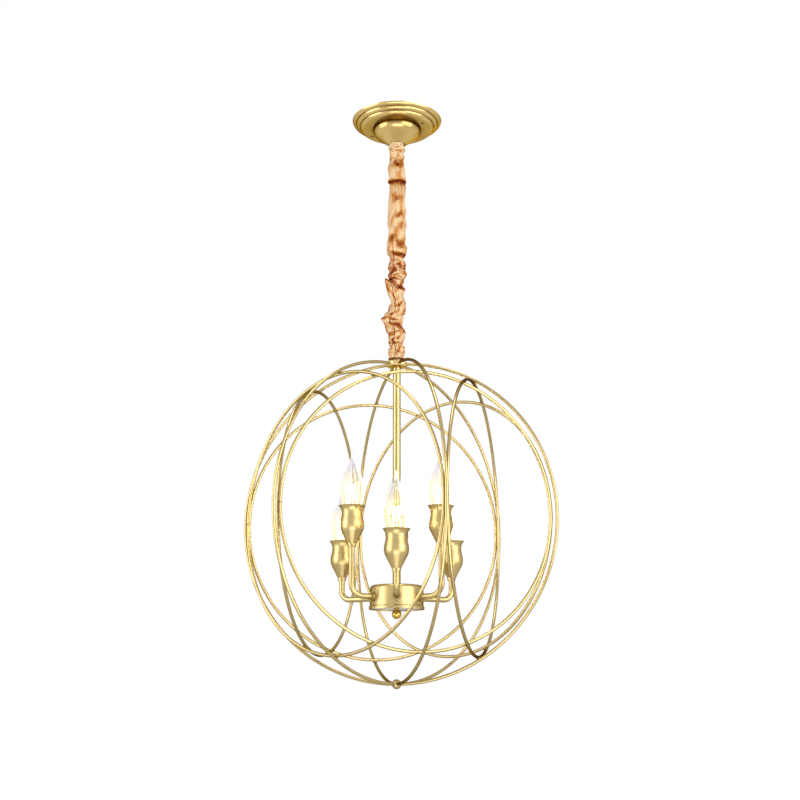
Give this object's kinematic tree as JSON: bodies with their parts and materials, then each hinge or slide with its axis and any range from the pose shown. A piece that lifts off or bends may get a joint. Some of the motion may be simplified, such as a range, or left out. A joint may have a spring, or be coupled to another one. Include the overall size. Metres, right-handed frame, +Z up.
{
  "type": "candle chandelier",
  "caption": "Hanging candle chandelier: a globe of interlaced gold wire rings round upright candle lights on bent arms, on a chain with a gathered cloth sleeve and a stepped canopy.",
  "frame": {"origin": "middle of the canopy's face on the ceiling", "axes": "+Z up to the ceiling along the chain and stem, -Y towards the front of the picture"},
  "size_m": [0.3998, 0.3962, 0.7612],
  "materials": {
    "canopy_gold": "satin gold lacquer",
    "cage_gold": "satin champagne gold",
    "lamp_gold": "satin champagne gold",
    "finial_brass": "polished brass",
    "cover_paint": "pale grey",
    "zinc_steel": "zinc plated",
    "sleeve_satin": "peach gold satin",
    "terminal_plastic": "moulded",
    "holder_plastic": "moulded",
    "contact_brass": "plain",
    "bulb_glass": "clear",
    "bulb_core": "cap, mount and lit filaments"
  },
  "bodies": {
    "ceiling": {"canopy": "canopy_gold", "hanger_bar": "zinc_steel", "hanger_loop": "zinc_steel", "hanger_nut": "zinc_steel", "terminal_block": "terminal_plastic"},
    "upper_ring": {"upper_ring": "zinc_steel"},
    "chain": {"chain_links": "zinc_steel", "chain_sleeve": "sleeve_satin"},
    "lower_ring": {"lower_ring": "zinc_steel"},
    "fixture": {"cage_loop": "zinc_steel", "cage_hub": "cage_gold", "cage_brazes": "cage_gold", "bottom_ball": "cage_gold", "stem": "cage_gold", "arm_hub": "lamp_gold", "hub_cover": "cover_paint", "stem_nut": "zinc_steel", "finial": "finial_brass", "wire_connector": "terminal_plastic", "arm_bushes": "lamp_gold", "arm_nuts": "zinc_steel", "lampholders": "holder_plastic", "lampholder_contacts": "contact_brass", "cage_rib_1": "cage_gold", "cage_rib_2": "cage_gold", "cage_rib_3": "cage_gold", "cage_rib_4": "cage_gold", "cage_rib_5": "cage_gold", "cage_rib_6": "cage_gold", "cage_ring_1": "cage_gold", "cage_ring_2": "cage_gold", "cage_ring_3": "cage_gold", "cage_ring_4": "cage_gold", "cage_ring_5": "cage_gold", "cage_ring_6": "cage_gold", "arm_1": "lamp_gold", "arm_2": "lamp_gold", "arm_3": "lamp_gold", "arm_4": "lamp_gold", "arm_5": "lamp_gold", "arm_6": "lamp_gold", "cup_1": "lamp_gold", "cup_2": "lamp_gold", "cup_3": "lamp_gold", "cup_4": "lamp_gold", "cup_5": "lamp_gold", "cup_6": "lamp_gold"},
    "bulb_1": {"bulb_1_glass": "bulb_glass", "bulb_1_core": "bulb_core"},
    "bulb_2": {"bulb_2_glass": "bulb_glass", "bulb_2_core": "bulb_core"},
    "bulb_3": {"bulb_3_glass": "bulb_glass", "bulb_3_core": "bulb_core"},
    "bulb_4": {"bulb_4_glass": "bulb_glass", "bulb_4_core": "bulb_core"},
    "bulb_5": {"bulb_5_glass": "bulb_glass", "bulb_5_core": "bulb_core"},
    "bulb_6": {"bulb_6_glass": "bulb_glass", "bulb_6_core": "bulb_core"}
  },
  "joints": [
    {"name": "chain_swing_sideways", "type": "hinge", "parent": "ceiling", "child": "upper_ring", "pos_m": [0, 0, -0.03], "axis": [0, 1, 0], "range_deg": [-8, 8]},
    {"name": "chain_swing_forwards", "type": "hinge", "parent": "upper_ring", "child": "chain", "pos_m": [0, 0, -0.035], "axis": [1, 0, 0], "range_deg": [-8, 8]},
    {"name": "cage_swing_sideways", "type": "hinge", "parent": "chain", "child": "lower_ring", "pos_m": [0, 0, -0.32094], "axis": [0, 1, 0], "range_deg": [-8, 8]},
    {"name": "cage_swing_forwards", "type": "hinge", "parent": "lower_ring", "child": "fixture", "pos_m": [0, 0, -0.32624], "axis": [1, 0, 0], "range_deg": [-8, 8]},
    {"name": "bulb_1_out", "type": "slide", "parent": "fixture", "child": "bulb_1", "axis": [0, 0, 1], "range_m": [0, 0.03]},
    {"name": "bulb_2_out", "type": "slide", "parent": "fixture", "child": "bulb_2", "axis": [0, 0, 1], "range_m": [0, 0.03]},
    {"name": "bulb_3_out", "type": "slide", "parent": "fixture", "child": "bulb_3", "axis": [0, 0, 1], "range_m": [0, 0.03]},
    {"name": "bulb_4_out", "type": "slide", "parent": "fixture", "child": "bulb_4", "axis": [0, 0, 1], "range_m": [0, 0.03]},
    {"name": "bulb_5_out", "type": "slide", "parent": "fixture", "child": "bulb_5", "axis": [0, 0, 1], "range_m": [0, 0.03]},
    {"name": "bulb_6_out", "type": "slide", "parent": "fixture", "child": "bulb_6", "axis": [0, 0, 1], "range_m": [0, 0.03]}
  ]
}
